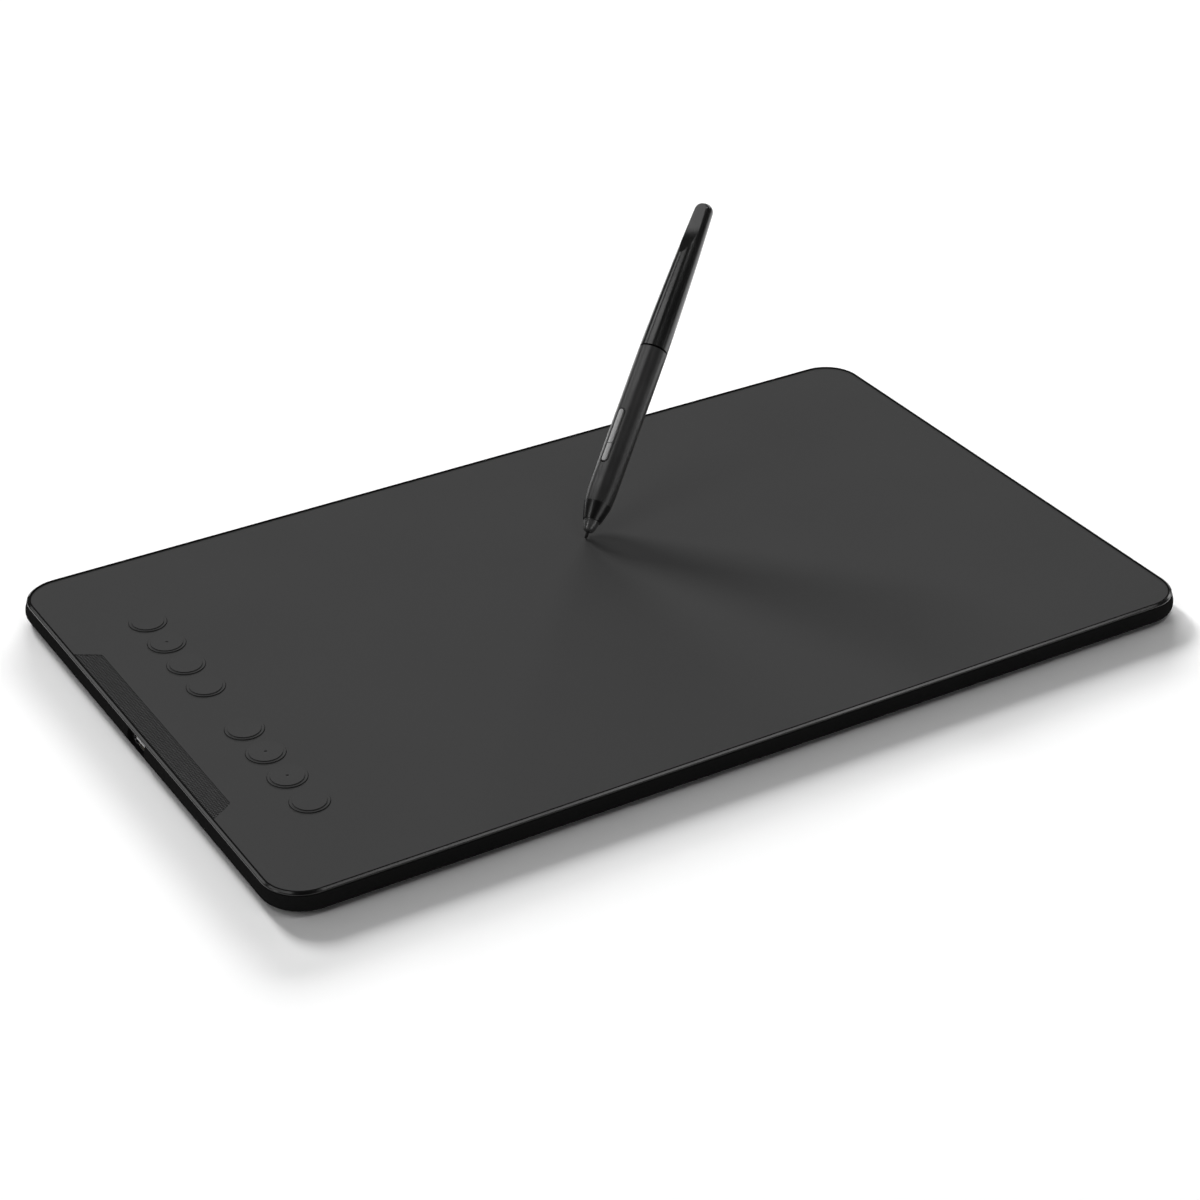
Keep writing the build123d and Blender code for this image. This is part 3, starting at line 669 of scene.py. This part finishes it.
def make_floor(context):
    """Pale floor that keeps the tablet's shadow and runs out to plain white further away."""
    start()
    bpy.ops.mesh.primitive_plane_add(size=FLOOR_SIZE, location=(0, 0, 0))
    floor = context.object
    floor.name = "floor"
    material, tree, shader, place = begin("pale_floor", 0.9, 0.0)
    shader.inputs["Base Color"].default_value = context.scene.tablet_colours.floor
    away = add(tree, "VectorMath", operation="LENGTH")
    tree.links.new(place, away.inputs[0])
    whiter = grade(tree, away.outputs["Value"], 0.0, 1.0, WHITE_SPAN)
    path = add(tree, "LightPath")
    seen = path.outputs["Is Camera Ray"]
    for ray in ("Is Glossy Ray", "Is Transmission Ray"):
        seen = combined(tree, "MAXIMUM", seen, path.outputs[ray])
    white = add(tree, "Emission", Strength=1.0)
    mixed = add(tree, "MixShader")
    tree.links.new(combined(tree, "MULTIPLY", seen, whiter), mixed.inputs[0])
    tree.links.new(shader.outputs[0], mixed.inputs[1])
    tree.links.new(white.outputs[0], mixed.inputs[2])
    tree.links.new(mixed.outputs[0], tree.nodes["Material Output"].inputs["Surface"])
    floor.data.materials.append(material)


def make_world(context):
    """Even soft light from all round."""
    world = bpy.data.worlds.new("studio")
    context.scene.world = world
    world.use_nodes = True
    light = world.node_tree.nodes["Background"]
    light.inputs["Color"].default_value = (1, 1, 1, 1)
    light.inputs["Strength"].default_value = context.scene.tablet_view.ambient


# Where the lamps point, and the way to the sun
LIT_POINT = Vector((-0.02, -0.02, 0.0))
SUN_WAY = Vector((0.051, 0.915, 0.402)).normalized()
SUN_ANGLE = math.radians(12)
# The box that, like the sun, lights the surfaces without a glint of its own on them
NO_GLINT = "back"


def aim(lamp, way, run):
    """Turns a lamp that stands out along a way back to the tablet, its long side along a run."""
    across = way.cross(run).normalized()
    turn = Matrix((across.cross(way), across, way)).transposed()
    lamp.rotation_mode = "QUATERNION"
    lamp.rotation_quaternion = turn.to_quaternion()


# Soft boxes: way from the tablet to the box, direction of its long side, distance and size
BOXES = {
    "back": ((0.47, 0.85, 0.21), (0.87, -0.48, 0.0), 4.5, (2.4, 0.6)),
    "right": ((0.87, 0.33, 0.36), (0.35, -0.93, 0.0), 4.5, (3.0, 0.9)),
    "rear": ((-0.409, 0.738, 0.537), (0.875, 0.485, 0.0), 2.5, (0.85, 0.66)),
    "left": ((-0.41, 0.25, 0.88), (0.2, -0.85, 0.48), 2.6, (1.7, 0.7)),
    "side": ((-0.89, 0.03, 0.45), (0.45, 0.0, 0.89), 1.5, (1.0, 0.36)),
    "top": ((0.42, -0.2, 0.886), (1.0, 0.0, -0.5), 2.0, (1.0, 0.35)),
    "front": ((0.4, -0.9, 0.16), (0.9, 0.4, 0.0), 2.0, (2.4, 0.7)),
}


def make_lamps(context):
    """Low lamp behind the tablet and the soft boxes round it."""
    view = context.scene.tablet_view
    start()
    bpy.ops.object.light_add(type="SUN", location=SUN_WAY * 2)
    sun = context.object
    sun.name = "sun"
    sun.data.energy = view.sun * math.pi / SUN_WAY.z
    sun.data.angle = SUN_ANGLE
    sun.visible_glossy = False
    aim(sun, SUN_WAY, Vector((1, 0, 0)))
    for name, (way, run, distance, size) in BOXES.items():
        way = Vector(way).normalized()
        bpy.ops.object.light_add(type="AREA", location=LIT_POINT + way * distance)
        lamp = context.object
        lamp.name = name + "_box"
        lamp.data.shape = "RECTANGLE"
        lamp.data.size, lamp.data.size_y = size
        lamp.data.energy = getattr(view, name) * math.pi**2 * distance**2 / way.z
        aim(lamp, way, Vector(run))
        lamp.visible_glossy = name != NO_GLINT


LOOK_AT = Vector((-2.3387, -4.3867, 7.8817)) * MM
SENSOR_WIDTH = 36
CLIP_NEAR, CLIP_FAR = 0.01, 100


def make_camera(context):
    """Camera at the photograph's angle."""
    view = context.scene.tablet_view
    flat = math.cos(view.elevation)
    back = Vector(
        (flat * math.sin(view.azimuth), -flat * math.cos(view.azimuth), math.sin(view.elevation))
    )
    start()
    bpy.ops.object.camera_add(location=LOOK_AT + back * view.distance)
    camera = context.object
    camera.name = "camera"
    camera.rotation_mode = "QUATERNION"
    level = (-back).to_track_quat("-Z", "Y")
    camera.rotation_quaternion = level @ Matrix.Rotation(view.roll, 4, "Z").to_quaternion()
    camera.data.sensor_width = SENSOR_WIDTH
    camera.data.lens = view.focal
    camera.data.clip_start = CLIP_NEAR
    camera.data.clip_end = CLIP_FAR
    context.scene.camera = camera


class TABLET_PT_panel(bpy.types.Panel):
    """Lists the sizes, colours and steps of the tablet"""

    bl_label = "Tablet"
    bl_idname = "TABLET_PT_panel"
    bl_space_type = "VIEW_3D"
    bl_region_type = "UI"
    bl_category = "Tablet"

    def draw(self, context):
        scene = context.scene
        for title, group in (
            ("Colours", scene.tablet_colours),
            ("Sizes", scene.tablet_sizes),
            ("View", scene.tablet_view),
        ):
            box = self.layout.box()
            box.label(text=title)
            for name in group.__annotations__:
                box.prop(group, name)
        for step in STEPS:
            self.layout.operator(step.bl_idname)


STEPS = (
    TABLET_OT_finishes,
    TABLET_OT_strip,
    TABLET_OT_contacts,
    TABLET_OT_stage,
)
GROUPS = {
    "tablet_colours": TabletColours,
    "tablet_sizes": TabletSizes,
    "tablet_view": TabletView,
}


def register():
    for kind in (*GROUPS.values(), *STEPS, TABLET_PT_panel):
        bpy.utils.register_class(kind)
    for name, kind in GROUPS.items():
        setattr(bpy.types.Scene, name, bpy.props.PointerProperty(type=kind))


def unregister():
    for name in GROUPS:
        delattr(bpy.types.Scene, name)
    for kind in reversed((*GROUPS.values(), *STEPS, TABLET_PT_panel)):
        bpy.utils.unregister_class(kind)


def main():
    register()
    bpy.ops.tablet.finishes()
    bpy.ops.tablet.strip()
    bpy.ops.tablet.contacts()
    bpy.ops.tablet.stage()


if __name__ == "__main__":
    main()
